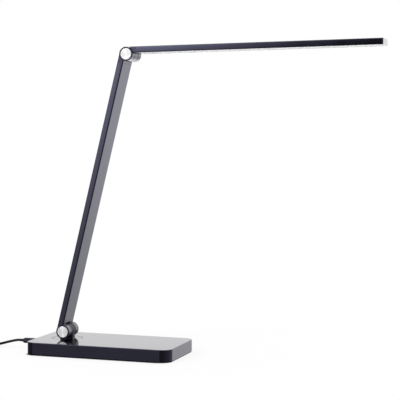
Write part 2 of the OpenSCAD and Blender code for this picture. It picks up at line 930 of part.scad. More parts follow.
module arm_lead() {
    color([0.75, 0.1, 0.08])
        at_arm()
            translate([-middle_offset, 0, foot_slot_depth + lead_end_gap])
                cylinder(d = inner_lead_diameter,
                    h = arm_length - foot_slot_depth - slot_depth - 2 * lead_end_gap);
}

module base_hinge_bolt() {
    color([0.6, 0.6, 0.62])
        at_base_hinge()
            hinge_bolt();
}

module base_hinge_nut() {
    color([0.6, 0.6, 0.62])
        at_arm()
            hinge_nut();
}

module base_hinge_washers() {
    color([0.6, 0.6, 0.62])
        at_base_hinge()
            hinge_washers();
}

module base_hinge_caps() {
    color([0.85, 0.85, 0.87])
        at_base_hinge()
            hinge_caps();
}

module top_hinge_bolt() {
    color([0.6, 0.6, 0.62])
        at_top_hinge()
            hinge_bolt();
}

module top_hinge_nut() {
    color([0.6, 0.6, 0.62])
        at_top_hinge()
            mirror([0, 0, 1])
                hinge_nut();
}

module top_hinge_washers() {
    color([0.6, 0.6, 0.62])
        at_top_hinge()
            hinge_washers();
}

module top_hinge_caps() {
    color([0.85, 0.85, 0.87])
        at_top_hinge()
            hinge_caps();
}

// ---------- head: it points to +Z, with its lit face towards +X ----------

module head_block() {
    color([0.05, 0.05, 0.055])
        at_head()
            difference() {
                union() {
                    difference() {
                        profile_bar(0, block_length);
                        rod_y(shoulder_radius, -half_width - over, half_width + over);
                    }
                    drum_y(knuckle_radius, -knuckle_half, knuckle_half, hinge_chamfer, hinge_chamfer);
                    block([-outer_offset + knuckle_step, -knuckle_half + hinge_chamfer, 0],
                        [-inner_offset, knuckle_half - hinge_chamfer, block_length - over]);
                    block([-ceiling_offset + slide_gap, -rib_half + slide_gap, block_length - over],
                        [-rib_front, rib_half - slide_gap, block_length + head_spigot_length]);
                }
                rod_y(bolt_radius + bolt_clearance, -half_width - over, half_width + over);
                translate([-middle_offset, 0, 0])
                    cylinder(r = lead_hole, h = block_length + head_spigot_length + over);
                for (y = [-1, 1])
                    translate([-rib_front + over, y * head_screw_y, head_screw_z])
                        rotate([0, -90, 0]) {
                            cylinder(r = head_screw_radius + slide_gap, h = 2 * arm_thickness);
                            cylinder(r = head_screw_head + slide_gap,
                                h = over + head_screw_head_height);
                        }
            }
}

module head_profile() {
    color([0.05, 0.05, 0.055])
        at_head()
            difference() {
                profile_bar(block_length, head_end);
                difference() {
                    block([-ceiling_offset, -cavity_half, block_length - over],
                        [-diffuser_front, cavity_half, head_end + over]);
                    for (s = [0, 1])
                        mirror([0, s, 0])
                            block([-rib_back, rib_half, 0], [-rib_front, half_width, head_reach]);
                }
                block([-rib_front, -mouth_half, block_length - over],
                    [over, mouth_half, head_end + over]);
                for (y = [-1, 1])
                    translate([-ceiling_offset + over, y * head_screw_y, head_screw_z])
                        rotate([0, -90, 0])
                            cylinder(r = head_screw_radius,
                                h = over + profile_wall * head_screw_hole_share);
            }
}

module head_screws() {
    seat = rib_front + head_screw_head_height;
    color([0.5, 0.5, 0.52])
        at_head()
            for (y = [-1, 1])
                translate([-seat, y * head_screw_y, head_screw_z])
                    rotate([0, -90, 0])
                        pan_screw(head_screw_head, head_screw_head_height - slide_gap,
                            head_screw_radius,
                            ceiling_offset + profile_wall * head_screw_bite_share - seat);
}

module head_lead() {
    color([0.75, 0.1, 0.08])
        at_head()
            translate([-middle_offset, 0, knuckle_radius + head_lead_gap])
                cylinder(d = inner_lead_diameter,
                    h = board_start + head_lead_lap - knuckle_radius - head_lead_gap);
}

module led_board() {
    color([0.9, 0.9, 0.88])
        at_head()
            block([-ceiling_offset, -board_half, board_start], [-led_offset, board_half, board_end]);
}

module led_chips() {
    color([0.95, 0.85, 0.35])
        at_head()
            for (s = [-1, 1])
                for (i = [0:leds_per_row - 1])
                    translate([-led_offset, s * led_row_spacing / 2,
                            board_start + led_margin + i * led_pitch])
                        translate([0, -led_width / 2, -led_length / 2])
                            cube([led_height, led_width, led_length]);
}

// Its edges lie on the lips, and its middle fills the mouth between them
module diffuser() {
    color([0.97, 0.97, 0.97])
        at_head() {
            block([-diffuser_back, -cavity_half + slide_gap, block_length],
                [-diffuser_front, cavity_half - slide_gap, head_end]);
            block([-diffuser_back, -mouth_half + slide_gap, block_length],
                [-inner_offset - diffuser_inset, mouth_half - slide_gap, head_end]);
        }
}

module head_end_cap() {
    color([0.05, 0.05, 0.055])
        at_head() {
            profile_bar(head_end, head_reach);
            block([-ceiling_offset + slide_gap, -rib_half + slide_gap, head_end - spigot_length / 2],
                [-rib_back, rib_half - slide_gap, head_end + over]);
        }
}

// ---------- lead ----------

module plug_shell() {
    shell_tip = socket_front + plug_shell_reach;
    color([0.75, 0.75, 0.77])
        at_plug()
            difference() {
                oval_bar(plug_shell_width, plug_shell_height, plug_front, shell_tip);
                oval_bar(plug_shell_width - 2 * plug_shell_wall,
                    plug_shell_height - 2 * plug_shell_wall, plug_front + plug_shell_root,
                    shell_tip + over);
            }
}

module plug_body() {
    color([0.03, 0.03, 0.03])
        at_plug() {
            oval_bar(plug_width, plug_thickness, plug_back + plug_bevel, plug_front - plug_bevel);
            oval_bar(plug_width - plug_bevel, plug_thickness - plug_bevel, plug_back, plug_front);
        }
}

module plug_relief() {
    color([0.03, 0.03, 0.03])
        at_plug()
            translate([relief_end, 0, 0])
                rotate([0, 90, 0])
                    cylinder(r1 = cord_radius + relief_lip, r2 = cord_radius + relief_flare,
                        h = relief_length);
}

module cord_run() {
    color([0.04, 0.04, 0.04])
        swept_tube(cord_route, cord_radius, 8);
}

module cord_coil() {
    color([0.04, 0.04, 0.04])
        translate([coil_centre[0], coil_centre[1], 0])
            rotate_extrude()
                translate([coil_inner, 0])
                    square([coil_outer - coil_inner, coil_height]);
}

module cord_tie() {
    wide = coil_outer - coil_inner;
    color([0.06, 0.06, 0.06])
        translate([coil_centre[0] + coil_middle_radius, coil_centre[1], 0])
            difference() {
                block([-wide / 2 - tie_thickness, -tie_width / 2, 0],
                    [wide / 2 + tie_thickness, tie_width / 2, coil_height + tie_thickness]);
                block([-wide / 2 + tie_slack, -tie_width, tie_thickness],
                    [wide / 2 - tie_slack, tie_width, coil_height - tie_slack]);
            }
}

module cord_tail() {
    color([0.04, 0.04, 0.04])
        swept_tube(tail_route, cord_radius, 8);
}

// The far end's plug, pointing to -Y
module at_end_plug() {
    translate(end_plug)
        rotate([0, 0, 90])
            children();
}

module end_plug_relief() {
    color([0.03, 0.03, 0.03])
        at_end_plug()
            translate([-end_relief_length, 0, 0])
                rotate([0, 90, 0])
                    cylinder(r1 = cord_radius + end_relief_flare, r2 = cord_radius + relief_lip,
                        h = end_relief_length);
}

module end_plug_body() {
    back = -end_relief_length;
    front = back - end_plug_length;
    color([0.03, 0.03, 0.03])
        at_end_plug() {
            oval_bar(end_plug_width, end_plug_height, front + plug_bevel, back - plug_bevel);
            oval_bar(end_plug_width - plug_bevel, end_plug_height - plug_bevel, front, back);
        }
}

module end_plug_shell() {
    front = -end_relief_length - end_plug_length;
    wall = end_shell_wall;
    color([0.75, 0.75, 0.77])
        at_end_plug()
            difference() {
                block([front - end_shell_length, -end_shell_width / 2, -end_shell_height / 2],
                    [front, end_shell_width / 2, end_shell_height / 2]);
                block([front - end_shell_length - over, -end_shell_width / 2 + wall, end_tongue_top],
                    [front - wall, end_shell_width / 2 - wall, end_shell_height / 2 - wall]);
            }
}

base_shell();
bottom_cover();
rubber_pad();
cover_screws();
steel_weight();
control_board();
driver_parts();
inlet_board();
inlet_socket();
control_lead();
swivel_mount();
swivel_slip_washer();
swivel_friction_washer();
swivel_spring_washer();
swivel_nut();
arm_lower_fork();
arm_profile();
arm_upper_fork();
arm_screws();
arm_lead();
base_hinge_bolt();
base_hinge_nut();
base_hinge_washers();
base_hinge_caps();
top_hinge_bolt();
top_hinge_nut();
top_hinge_washers();
top_hinge_caps();
head_block();
head_profile();
head_screws();
head_lead();
led_board();
led_chips();
diffuser();
head_end_cap();
plug_shell();
plug_body();
plug_relief();
cord_run();
cord_coil();
cord_tie();
cord_tail();
end_plug_relief();
end_plug_body();
end_plug_shell();
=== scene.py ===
import math
import bmesh
import bpy
from mathutils import Matrix, Vector


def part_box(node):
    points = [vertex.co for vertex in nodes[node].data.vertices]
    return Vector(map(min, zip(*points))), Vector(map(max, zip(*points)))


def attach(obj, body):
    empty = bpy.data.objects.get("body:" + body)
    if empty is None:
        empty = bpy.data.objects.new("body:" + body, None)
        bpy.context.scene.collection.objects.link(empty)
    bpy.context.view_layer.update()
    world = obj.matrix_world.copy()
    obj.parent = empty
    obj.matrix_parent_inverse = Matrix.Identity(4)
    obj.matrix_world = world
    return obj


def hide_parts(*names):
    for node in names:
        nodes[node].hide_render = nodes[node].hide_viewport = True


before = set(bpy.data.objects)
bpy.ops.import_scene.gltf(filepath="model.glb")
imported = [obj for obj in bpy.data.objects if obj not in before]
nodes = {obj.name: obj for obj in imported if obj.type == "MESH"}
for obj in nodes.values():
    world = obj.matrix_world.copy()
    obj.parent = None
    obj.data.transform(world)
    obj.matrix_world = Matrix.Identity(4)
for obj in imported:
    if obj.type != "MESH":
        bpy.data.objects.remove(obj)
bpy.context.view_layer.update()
scene = bpy.context.scene

MM = 0.001

# ---------------------------------------------------------------- camera
# A long lens from the front right, a little above the middle of the arm.
CAMERA_PLACE = (0.61891, -1.56773, 0.28821)
CAMERA_TURN = (17.534, 2.883, 0.325)
FOCAL_PIXELS = 1276.46
PICTURE_WIDTH = 400
SENSOR = 36
yaw, pitch, roll = (math.radians(a) for a in CAMERA_TURN)
forward = Vector((-math.sin(yaw) * math.cos(pitch), math.cos(yaw) * math.cos(pitch), -math.sin(pitch)))
level = Vector((math.cos(yaw), math.sin(yaw), 0))
upward = level.cross(forward)
right = math.cos(roll) * level + math.sin(roll) * upward
up = -math.sin(roll) * level + math.cos(roll) * upward
camera_data = bpy.data.cameras.new("camera")
camera_data.sensor_width = SENSOR
camera_data.lens = FOCAL_PIXELS / PICTURE_WIDTH * SENSOR
camera_data.clip_start = 0.05
camera = bpy.data.objects.new("camera", camera_data)
turn = Matrix((right, up, -forward)).transposed().to_4x4()
camera.matrix_world = Matrix.Translation(CAMERA_PLACE) @ turn
scene.collection.objects.link(camera)
scene.camera = camera

# ---------------------------------------------------------------- material helpers
# the tint of what the black parts reflect
COOL = (0.66, 0.66, 1.0)


def material(name):
    """A new material: (material, its nodes, its links, the Principled shader)."""
    m = bpy.data.materials.new(name)
    m.use_nodes = True
    tree = m.node_tree
    return m, tree.nodes, tree.links, tree.nodes["Principled BSDF"]


def node(tree_nodes, kind, **values):
    """A new node with some of its settings."""
    made = tree_nodes.new(kind)
    for key, value in values.items():
        setattr(made, key, value)
    return made


def noise(tree_nodes, links, scale, detail=4.0, rough=0.55, stretch=None):
    """Noise in object space, in cycles per metre, optionally stretched along an axis."""
    where = node(tree_nodes, "ShaderNodeTexCoord")
    made = node(tree_nodes, "ShaderNodeTexNoise")
    made.inputs["Scale"].default_value = scale
    made.inputs["Detail"].default_value = detail
    made.inputs["Roughness"].default_value = rough
    if stretch:
        mapping = node(tree_nodes, "ShaderNodeMapping")
        mapping.inputs["Scale"].default_value = stretch
        links.new(where.outputs["Object"], mapping.inputs["Vector"])
        links.new(mapping.outputs["Vector"], made.inputs["Vector"])
    else:
        links.new(where.outputs["Object"], made.inputs["Vector"])
    return made.outputs["Fac"]


def ramp(tree_nodes, links, fac, low, high, start=0.35, end=0.65, curve="LINEAR"):
    """A value that goes from low to high as fac goes from start to end."""
    made = node(tree_nodes, "ShaderNodeMapRange", interpolation_type=curve)
    for key, number in (("From Min", start), ("From Max", end), ("To Min", low), ("To Max", high)):
        made.inputs[key].default_value = number
    links.new(fac, made.inputs["Value"])
    return made.outputs["Result"]


def step(tree, value, start, end, low, high):
    """A value that goes smoothly from low to high while another goes from start to end."""
    return ramp(tree.nodes, tree.links, value, low, high, start, end, "SMOOTHSTEP")


def straight(tree, value, start, end, low, high):
    """The same, in a straight line."""
    return ramp(tree.nodes, tree.links, value, low, high, start, end)


def maths(tree, operation, a, b):
    """An operation on two values, each a number or the output of a node."""
    made = node(tree.nodes, "ShaderNodeMath", operation=operation)
    for socket, value in ((0, a), (1, b)):
        if hasattr(value, "links"):
            tree.links.new(value, made.inputs[socket])
        else:
            made.inputs[socket].default_value = value
    return made.outputs[0]


def product(tree, first, *others):
    """All the values multiplied together."""
    for other in others:
        first = maths(tree, "MULTIPLY", first, other)
    return first


def blend_colour(tree_nodes, links, fac, a, b):
    """The colour a where fac is 0 and b where it is 1."""
    made = node(tree_nodes, "ShaderNodeMix", data_type="RGBA")
    links.new(fac, made.inputs["Factor"])
    for socket, value in ((6, a), (7, b)):
        if hasattr(value, "links"):
            links.new(value, made.inputs[socket])
        else:
            made.inputs[socket].default_value = (*value, 1)
    return made.outputs[2]


def bump(tree_nodes, links, height, shader, strength, distance):
    """Relief on the shader's surface, distance metres deep where height goes from 0 to 1."""
    made = node(tree_nodes, "ShaderNodeBump")
    made.inputs["Strength"].default_value = strength
    made.inputs["Distance"].default_value = distance
    links.new(height, made.inputs["Height"])
    links.new(made.outputs["Normal"], shader.inputs["Normal"])


def edges(tree_nodes, links, width=0.0005):
    """Near 1 along rubbed edges, in broken patches, and 0 on the faces between them."""
    geometry = node(tree_nodes, "ShaderNodeNewGeometry")
    rounded = node(tree_nodes, "ShaderNodeBevel", samples=4)
    rounded.inputs["Radius"].default_value = width
    along = node(tree_nodes, "ShaderNodeVectorMath", operation="DOT_PRODUCT")
    links.new(rounded.outputs["Normal"], along.inputs[0])
    links.new(geometry.outputs["Normal"], along.inputs[1])
    rubbed = ramp(tree_nodes, links, along.outputs["Value"], 1, 0, 0.8, 0.97)
    broken = ramp(tree_nodes, links, noise(tree_nodes, links, 160, 3), 0.15, 1, 0.35, 0.7)
    patchy = node(tree_nodes, "ShaderNodeMath", operation="MULTIPLY")
    links.new(rubbed, patchy.inputs[0])
    links.new(broken, patchy.inputs[1])
    return patchy.outputs[0]


def from_point(tree_nodes, links, centre):
    """The place of a surface point as seen from centre, in the object's own frame."""
    where = node(tree_nodes, "ShaderNodeTexCoord")
    shift = node(tree_nodes, "ShaderNodeVectorMath", operation="SUBTRACT")
    shift.inputs[1].default_value = centre
    links.new(where.outputs["Object"], shift.inputs[0])
    return shift.outputs[0]


def two_tone(tree_nodes, links, fac, shader, dark, light):
    """A base colour that goes from dark to light with a noise."""
    links.new(blend_colour(tree_nodes, links, ramp(tree_nodes, links, fac, 0, 1), dark, light),
              shader.inputs["Base Color"])


def plastic(name, base, worn, rough, spread, grain, depth, ior=1.5, gloss=0.5):
    """Moulded plastic: fine grain, patches of rougher skin, edges rubbed paler."""
    m, n, k, p = material(name)
    patch = noise(n, k, 55, 3)
    fine = noise(n, k, grain, 2)
    colour = blend_colour(n, k, ramp(n, k, patch, 0, 1), base, tuple(c * 1.35 for c in base))
    k.new(blend_colour(n, k, edges(n, k), colour, worn), p.inputs["Base Color"])
    k.new(ramp(n, k, patch, rough - spread, rough + spread), p.inputs["Roughness"])
    p.inputs["IOR"].default_value = ior
    p.inputs["Specular IOR Level"].default_value = gloss
    p.inputs["Specular Tint"].default_value = (*COOL, 1)
    bump(n, k, fine, p, 0.25, depth)
    return m


def gloss_shell():
    """Piano-black plastic with faint polishing haze and fine wipe marks."""
    m, n, k, p = material("gloss_black")
    haze = noise(n, k, 18, 4)
    wipe = noise(n, k, 260, 2, 0.5, (1, 9, 1))
    two_tone(n, k, haze, p, (0.0055, 0.005, 0.0085), (0.008, 0.0075, 0.0115))
    mixed = node(n, "ShaderNodeMath", operation="MULTIPLY_ADD")
    k.new(ramp(n, k, wipe, 0, 1, 0.6, 0.8), mixed.inputs[0])
    mixed.inputs[1].default_value = 0.03
    k.new(ramp(n, k, haze, 0.09, 0.12), mixed.inputs[2])
    k.new(mixed.outputs[0], p.inputs["Roughness"])
    p.inputs["IOR"].default_value = 1.5
    p.inputs["Specular Tint"].default_value = (*COOL, 1)
    bump(n, k, wipe, p, 0.02, 0.00002)
    return m


SEAM_FROM, SEAM_TO = 0.0006, 0.0012


def swivel_skin():
    """One moulding: its disc is polished like the base, and its pedestal and knuckle are satin.
    The skin changes from SEAM_FROM to SEAM_TO metres above the top of the base."""
    m, n, k, p = material("swivel_black")
    where = node(n, "ShaderNodeTexCoord")
    split = node(n, "ShaderNodeSeparateXYZ")
    k.new(where.outputs["Object"], split.inputs[0])
    base_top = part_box("base_shell")[1][2]
    standing = ramp(n, k, split.outputs["Z"], 0, 1, base_top + SEAM_FROM, base_top + SEAM_TO)
    patch = noise(n, k, 55, 3)
    satin = ramp(n, k, patch, 0.42, 0.48)
    polish = ramp(n, k, noise(n, k, 18, 4), 0.1, 0.13)
    rough = node(n, "ShaderNodeMix", data_type="FLOAT")
    for socket, value in (("Factor", standing), ("A", polish), ("B", satin)):
        k.new(value, rough.inputs[socket])
    k.new(rough.outputs["Result"], p.inputs["Roughness"])
    colour = blend_colour(n, k, standing, (0.0065, 0.006, 0.009), (0.007, 0.0065, 0.010))
    k.new(blend_colour(n, k, edges(n, k), colour, (0.02, 0.02, 0.025)), p.inputs["Base Color"])
    p.inputs["Specular IOR Level"].default_value = 0.3
    p.inputs["Specular Tint"].default_value = (*COOL, 1)
    bump(n, k, noise(n, k, 2400, 2), p, 0.08, 0.00001)
    return m


# how the narrow sides of the profiles are crowned, and the depth of the lines in their skin
CROWN = 0.11
LINE_DEPTH = 0.0000016


def middle(name):
    """The middle of a CAD node's box."""
    low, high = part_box(name)
    return tuple((a + b) / 2 for a, b in zip(low, high))


def anodised(name, along, centre, across):
    """Black anodised extrusion: fine lines along its length under a satin skin, and narrow sides
    that are slightly crowned across, with the radius CROWN."""
    m, n, k, p = material(name)
    lines = noise(n, k, 900, 3, 0.6, along)
    cloud = noise(n, k, 30, 3)
    colour = blend_colour(n, k, ramp(n, k, lines, 0, 1), (0.0012, 0.0012, 0.0022),
                          (0.002, 0.002, 0.0034))
    k.new(blend_colour(n, k, edges(n, k), colour, (0.014, 0.014, 0.018)), p.inputs["Base Color"])
    k.new(ramp(n, k, cloud, 0.13, 0.17), p.inputs["Roughness"])
    p.inputs["IOR"].default_value = 1.8
    p.inputs["Specular Tint"].default_value = (*COOL, 1)
    off = node(n, "ShaderNodeVectorMath", operation="DOT_PRODUCT")
    off.inputs[1].default_value = across
    k.new(from_point(n, k, centre), off.inputs[0])
    square = node(n, "ShaderNodeMath", operation="MULTIPLY")
    for socket in (0, 1):
        k.new(off.outputs["Value"], square.inputs[socket])
    height = node(n, "ShaderNodeMath", operation="MULTIPLY_ADD")
    k.new(square.outputs[0], height.inputs[0])
    height.inputs[1].default_value = -0.5 / CROWN
    grain = node(n, "ShaderNodeMath", operation="MULTIPLY")
    k.new(lines, grain.inputs[0])
    grain.inputs[1].default_value = LINE_DEPTH
    k.new(grain.outputs[0], height.inputs[2])
    bump(n, k, height.outputs[0], p, 1.0, 1.0)
    return m


def metal(name, base, rough, spread, grain=1440, depth=0.00002):
    """Plated or rolled metal with a fine grain and duller patches."""
    m, n, k, p = material(name)
    patch = noise(n, k, 90, 4)
    fine = noise(n, k, grain, 2)
    two_tone(n, k, patch, p, base, tuple(c * 0.82 for c in base))
    k.new(ramp(n, k, patch, rough - spread, rough + spread), p.inputs["Roughness"])
    p.inputs["Metallic"].default_value = 1.0
    bump(n, k, fine, p, 0.2, depth)
    return m


def spun_metal(name, centre, metallic, rough, anisotropy):
    """Spun aluminium: fine rings round the hinge axis through centre, and the bright fans they make."""
    m, n, k, p = material(name)
    flat = node(n, "ShaderNodeVectorMath", operation="MULTIPLY")
    flat.inputs[1].default_value = (1, 0, 1)
    k.new(from_point(n, k, centre), flat.inputs[0])
    radius = node(n, "ShaderNodeVectorMath", operation="LENGTH")
    k.new(flat.outputs[0], radius.inputs[0])
    rings = node(n, "ShaderNodeTexNoise", noise_dimensions="1D")
    rings.inputs["Scale"].default_value = 9000
    rings.inputs["Detail"].default_value = 3
    k.new(radius.outputs["Value"], rings.inputs["W"])
    two_tone(n, k, rings.outputs["Fac"], p, (0.90, 0.90, 0.91), (0.97, 0.97, 0.97))
    k.new(ramp(n, k, rings.outputs["Fac"], rough - 0.05, rough + 0.05), p.inputs["Roughness"])
    p.inputs["Metallic"].default_value = metallic
    p.inputs["Anisotropic"].default_value = anisotropy
    p.inputs["Anisotropic Rotation"].default_value = 0.25
    tangent = node(n, "ShaderNodeTangent", direction_type="RADIAL", axis="Y")
    k.new(tangent.outputs["Tangent"], p.inputs["Tangent"])
    bump(n, k, rings.outputs["Fac"], p, 0.15, 0.00003)
    return m


def opal():
    """Opal acrylic: even and milky, with a faint grain."""
    m, n, k, p = material("opal_diffuser")
    cloud = noise(n, k, 45, 3)
    fine = noise(n, k, 2600, 2)
    two_tone(n, k, cloud, p, (0.69, 0.69, 0.70), (0.73, 0.73, 0.73))
    k.new(ramp(n, k, cloud, 0.42, 0.52), p.inputs["Roughness"])
    p.inputs["Subsurface Weight"].default_value = 0.3
    p.inputs["Subsurface Radius"].default_value = (1, 1, 1)
    p.inputs["Subsurface Scale"].default_value = 0.002
    bump(n, k, fine, p, 0.2, 0.00003)
    return m


def board(name, mask, track):
    """Circuit board: solder mask with the pattern of tracks under it."""
    m, n, k, p = material(name)
    where = node(n, "ShaderNodeTexCoord")
    bricks = node(n, "ShaderNodeTexBrick")
    bricks.inputs["Scale"].default_value = 140
    bricks.inputs["Mortar Size"].default_value = 0.035
    k.new(where.outputs["Object"], bricks.inputs["Vector"])
    k.new(blend_colour(n, k, bricks.outputs["Fac"], mask, track), p.inputs["Base Color"])
    cloud = noise(n, k, 120, 3)
    k.new(ramp(n, k, cloud, 0.3, 0.42), p.inputs["Roughness"])
    bump(n, k, bricks.outputs["Fac"], p, 0.4, 0.00003)
    return m


def webbing(name):
    """Woven strap: crossed threads with a fuzzy face."""
    m, n, k, p = material(name)
    where = node(n, "ShaderNodeTexCoord")
    heights = []
    for axis in ("X", "Y"):
        threads = node(n, "ShaderNodeTexWave", bands_direction=axis)
        threads.inputs["Scale"].default_value = 420
        threads.inputs["Distortion"].default_value = 1.5
        k.new(where.outputs["Object"], threads.inputs["Vector"])
        heights.append(threads.outputs["Fac"])
    woven = node(n, "ShaderNodeMath", operation="MAXIMUM")
    for socket, height in enumerate(heights):
        k.new(height, woven.inputs[socket])
    fuzz = noise(n, k, 3200, 3)
    two_tone(n, k, fuzz, p, (0.008, 0.008, 0.009), (0.022, 0.022, 0.024))
    k.new(ramp(n, k, fuzz, 0.75, 0.95), p.inputs["Roughness"])
    p.inputs["Specular IOR Level"].default_value = 0.25
    bump(n, k, woven.outputs[0], p, 0.5, 0.00012)
    return m


# ---------------------------------------------------------------- materials
# A plastic's values are its colour, its rubbed colour, roughness and its spread, the grain in cycles
# per metre and its depth, and where they differ from the usual, IOR and specular level.
GLOSS = gloss_shell()
SATIN = plastic("satin_black", (0.007, 0.0065, 0.010), (0.02, 0.02, 0.025), 0.17, 0.02, 2400, 0.00001,
                1.65)
SWIVEL = swivel_skin()
MATT = plastic("matt_black", (0.016, 0.016, 0.017), (0.05, 0.05, 0.05), 0.62, 0.06, 1500, 0.00006)
RUBBER = plastic("rubber_black", (0.008, 0.008, 0.008), (0.02, 0.02, 0.02), 0.8, 0.05, 1100, 0.00008,
                 1.5, 0.15)
CORD = plastic("cord_jacket", (0.014, 0.014, 0.016), (0.03, 0.03, 0.03), 0.62, 0.06, 1800, 0.00004,
               1.5, 0.2)
MOULD = plastic("moulded_plug", (0.012, 0.012, 0.014), (0.035, 0.035, 0.035), 0.5, 0.05, 1600, 0.00004)
# how far the arm leans from upright, and how far the head rises from level
ARM_LEAN = math.radians(13.6)
HEAD_RISE = math.radians(1)
ARM_SKIN = anodised("anodised_arm", (1, 1, 0.02), middle("arm_profile"),
                    (math.cos(ARM_LEAN), 0, -math.sin(ARM_LEAN)))
HEAD_SKIN = anodised("anodised_head", (0.02, 1, 1), middle("head_profile"),
                     (-math.sin(HEAD_RISE), 0, math.cos(HEAD_RISE)))
ZINC = metal("zinc_steel", (0.62, 0.62, 0.64), 0.34, 0.08)
STEEL = metal("rolled_steel", (0.36, 0.36, 0.38), 0.45, 0.1, 540, 0.00006)
OXIDE = metal("black_oxide_steel", (0.035, 0.035, 0.037), 0.42, 0.08)
NICKEL = metal("nickel_plate", (0.72, 0.70, 0.67), 0.22, 0.05)
OPAL = opal()
GREEN = board("green_board", (0.006, 0.07, 0.03), (0.02, 0.16, 0.07))
WHITE_BOARD = board("white_board", (0.82, 0.82, 0.8), (0.74, 0.74, 0.72))
PARTS = plastic("black_parts", (0.02, 0.02, 0.02), (0.05, 0.05, 0.05), 0.5, 0.08, 1300, 0.00005)
NYLON = plastic("nylon", (0.72, 0.72, 0.69), (0.8, 0.8, 0.78), 0.5, 0.05, 1500, 0.00004)
WIRE = plastic("red_insulation", (0.42, 0.02, 0.016), (0.55, 0.05, 0.04), 0.4, 0.06, 1400, 0.00004)
JACKET = plastic("lead_jacket", (0.012, 0.012, 0.013), (0.03, 0.03, 0.03), 0.5, 0.06, 1400, 0.00003)
PHOSPHOR = plastic("led_phosphor", (0.85, 0.66, 0.16), (0.9, 0.8, 0.5), 0.35, 0.05, 1800, 0.00003)
MARKS = plastic("pale_marks", (0.62, 0.62, 0.64), (0.66, 0.66, 0.66), 0.45, 0.05, 1800, 0.00002)
STRAP = webbing("strap_webbing")
BASE_CAPS = spun_metal("spun_base_caps", middle("base_hinge_caps"), 0.3, 0.4, 0.92)
TOP_CAPS = spun_metal("spun_top_caps", middle("top_hinge_caps"), 0.32, 0.45, 0.9)

DRESS = {
    "base_shell": GLOSS, "bottom_cover": MATT, "rubber_pad": RUBBER, "cover_screws": ZINC,
    "steel_weight": STEEL, "control_board": GREEN, "driver_parts": PARTS, "inlet_board": GREEN,
    "inlet_socket": NICKEL, "control_lead": WIRE, "swivel_mount": SWIVEL, "swivel_slip_washer": NYLON,
    "swivel_friction_washer": MATT, "swivel_spring_washer": ZINC, "swivel_nut": ZINC,
    "arm_lower_fork": SATIN, "arm_profile": ARM_SKIN, "arm_upper_fork": SATIN, "arm_screws": OXIDE,
    "arm_lead": JACKET, "base_hinge_bolt": ZINC, "base_hinge_nut": ZINC, "base_hinge_washers": ZINC,
    "base_hinge_caps": BASE_CAPS, "top_hinge_bolt": ZINC, "top_hinge_nut": ZINC,
    "top_hinge_washers": ZINC, "top_hinge_caps": TOP_CAPS, "head_block": SATIN,
    "head_profile": HEAD_SKIN, "head_screws": OXIDE, "head_lead": JACKET, "led_board": WHITE_BOARD,
    "led_chips": PHOSPHOR, "diffuser": OPAL, "head_end_cap": SATIN, "plug_shell": NICKEL,
    "plug_body": MOULD, "plug_relief": MOULD, "cord_run": CORD, "cord_coil": CORD, "cord_tie": MATT,
    "cord_tail": CORD, "end_plug_relief": MOULD, "end_plug_body": MOULD, "end_plug_shell": NICKEL,
}
for name, skin in DRESS.items():
    nodes[name].data.materials.clear()
    nodes[name].data.materials.append(skin)

# ---------------------------------------------------------------- lead
CORD_D = 3.4 * MM
run = [(-133, 0, 10), (-134, 0, 9.95), (-138, 0, 9.3), (-142, 0, 8.4), (-148, 0, 6.9), (-154, 0, 5.2),
       (-160, 0, 3.6), (-166, 0, 2.4), (-172, 0, 1.8), (-177, 0, 1.7), (-182, 0, 1.7)]
tail = [(-211.6, -31, 5.1), (-211.6, -35, 5.1), (-211.6, -39, 4.8), (-211.6, -43, 4.3), (-211.6, -47, 4),
        (-211.6, -50, 4), (-211.6, -51, 4)]
# The coil is 3 turns across and 4 up; each turn keeps one place in it, (across, up), and
# moves to the next one behind the tie, over the degrees of CHANGE.
COIL_CENTRE = (-188, -23.6)
COIL_MIDDLE = 20.2
COIL_STEP = 3.4
COIL_PLACES = [(3, 1), (2, 1), (1, 1), (1, 2), (2, 2), (2, 3), (1, 3), (1, 4), (2, 4), (3, 4), (3, 3),
               (3, 2)]
COIL_START, COIL_END = 90, 180 + 360 * 11
POINTS_PER_TURN = 40
CHANGE = 70


def coil_point(angle):
    """The point of the coil at an angle in degrees, counted on through all the turns."""
    turns = int((angle + 180) // 360)
    part = min(max((angle - 360 * turns + CHANGE / 2) / CHANGE, 0), 1)
    part = part * part * (3 - 2 * part)
    old, new = COIL_PLACES[max(turns - 1, 0)], COIL_PLACES[min(turns, len(COIL_PLACES) - 1)]
    across, up_place = (a + (b - a) * part for a, b in zip(old, new))
    radius = COIL_MIDDLE + (across - 2) * COIL_STEP
    round_axis = math.radians(angle)
    return (COIL_CENTRE[0] + radius * math.cos(round_axis), COIL_CENTRE[1] + radius * math.sin(round_axis),
            COIL_STEP * (up_place - 0.5))


coil_steps = (COIL_END - COIL_START) * POINTS_PER_TURN // 360
coil = [coil_point(COIL_START + 360 * i / POINTS_PER_TURN) for i in range(coil_steps + 1)]


def tube(name, points, diameter, sides=4):
    """A round tube along points in millimetres, as a curve of one open spline."""
    data = bpy.data.curves.new(name, "CURVE")
    data.dimensions = "3D"
    data.bevel_depth = diameter / 2
    data.bevel_resolution = sides
    data.use_fill_caps = True
    spline = data.splines.new("POLY")
    spline.points.add(len(points) - 1)
    for point, place in zip(spline.points, points):
        point.co = (*(Vector(place) * MM), 1)
    spline.use_smooth = True
    made = bpy.data.objects.new(name, data)
    scene.collection.objects.link(made)
    return made


def smooth_route(points, each=4):
    """Catmull-Rom points through a route."""
    found = []
    for i in range(len(points) - 1):
        p0, p1, p2, p3 = (Vector(points[min(max(j, 0), len(points) - 1)])
                          for j in (i - 1, i, i + 1, i + 2))
        for s in range(each):
            t = s / each
            found.append(0.5 * ((2 * p1) + (p2 - p0) * t + (2 * p0 - 5 * p1 + 4 * p2 - p3) * t * t
                                + (3 * p1 - p0 - 3 * p2 + p3) * t ** 3))
    found.append(Vector(points[-1]))
    return found


